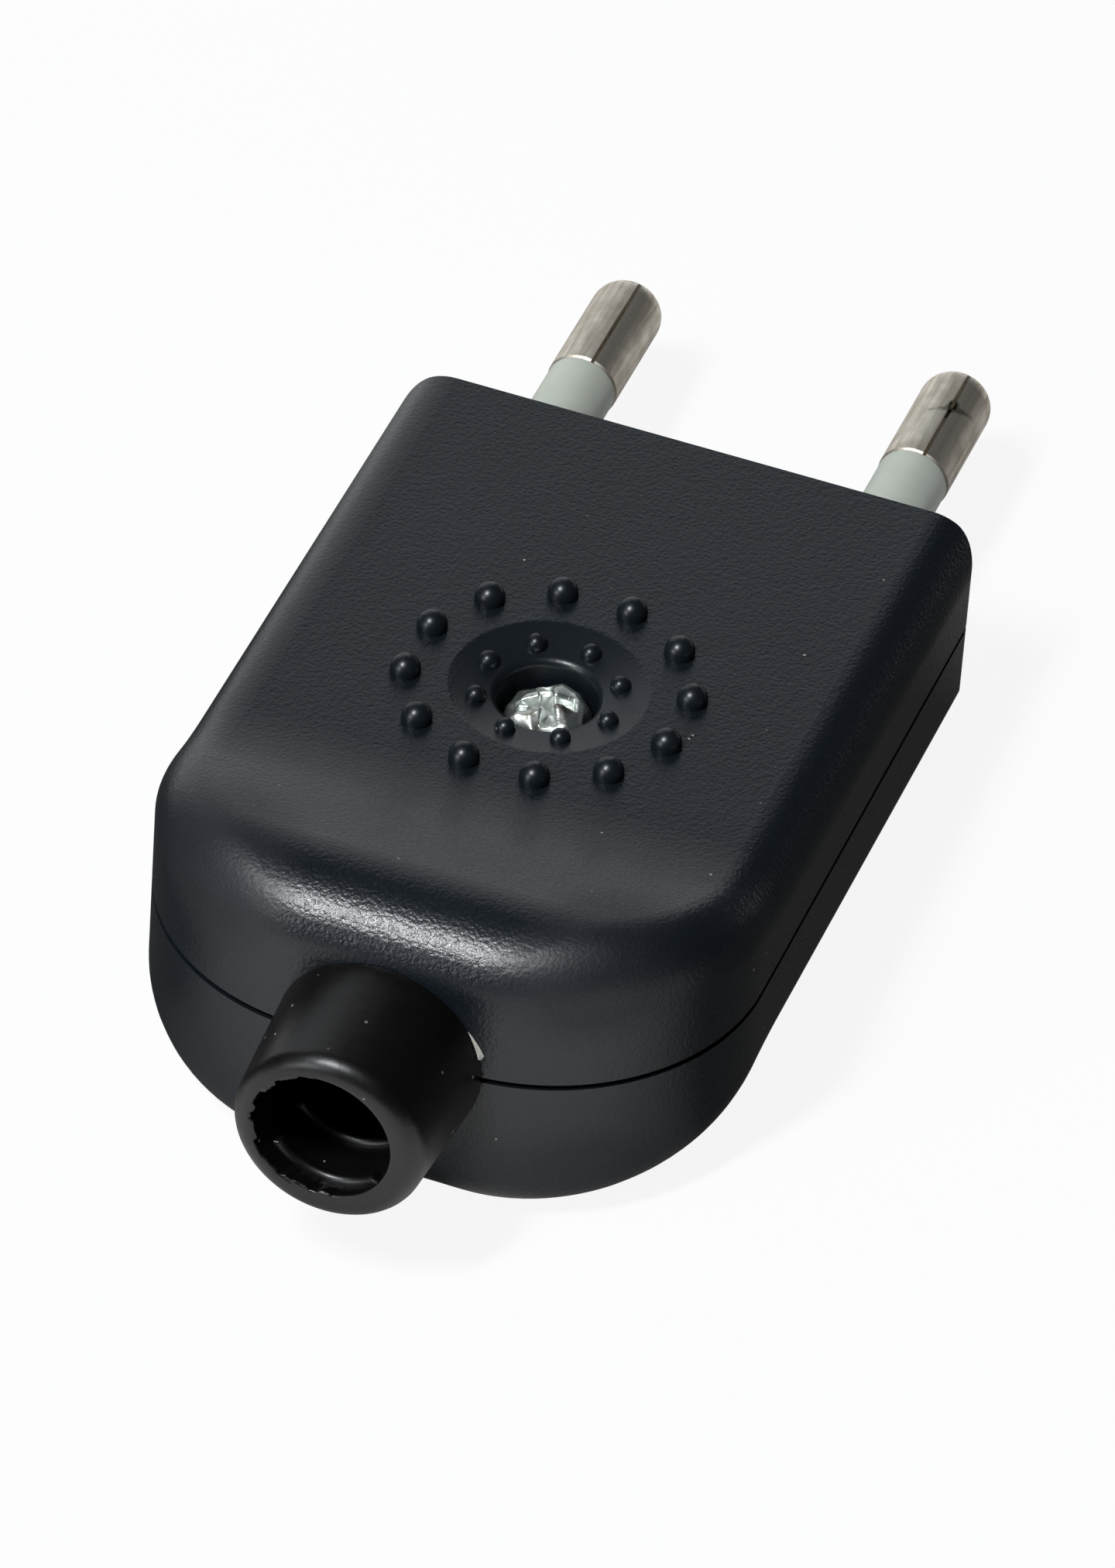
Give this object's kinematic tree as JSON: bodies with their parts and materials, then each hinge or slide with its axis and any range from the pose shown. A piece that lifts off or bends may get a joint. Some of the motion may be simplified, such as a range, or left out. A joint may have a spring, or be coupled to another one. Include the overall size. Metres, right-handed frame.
{
  "type": "two-pin mains plug",
  "caption": "Flat two-pin mains plug that is wired by hand: dark moulded halves joined by a central screw, sleeved round pins and a round rubber cord guard.",
  "frame": {"origin": "midway between the pins, on their axes, in the flat face they leave the body by", "axes": "+Y out along the pins, +Z to the face with the cover screw, +X to the right pin"},
  "size_m": [0.0324, 0.0703, 0.0177],
  "materials": {
    "housing_plastic": "satin moulded, fine texture",
    "nickel_plated_brass": "nickel-plated brass, dull",
    "sleeve_plastic": "smooth moulded",
    "guard_rubber": "smooth moulded rubber",
    "zinc_plated_steel": "zinc-plated steel",
    "clamp_plastic": "moulded"
  },
  "bodies": {
    "root": {"upper_cover": "housing_plastic", "lower_cover": "housing_plastic", "left_pin": "nickel_plated_brass", "right_pin": "nickel_plated_brass", "left_pin_sleeve": "sleeve_plastic", "right_pin_sleeve": "sleeve_plastic", "left_terminal_screw": "zinc_plated_steel", "right_terminal_screw": "zinc_plated_steel", "cover_screw": "zinc_plated_steel", "cover_nut": "zinc_plated_steel", "cord_guard": "guard_rubber", "cord_clamp": "clamp_plastic", "left_clamp_screw": "zinc_plated_steel", "right_clamp_screw": "zinc_plated_steel"}
  },
  "joints": []
}
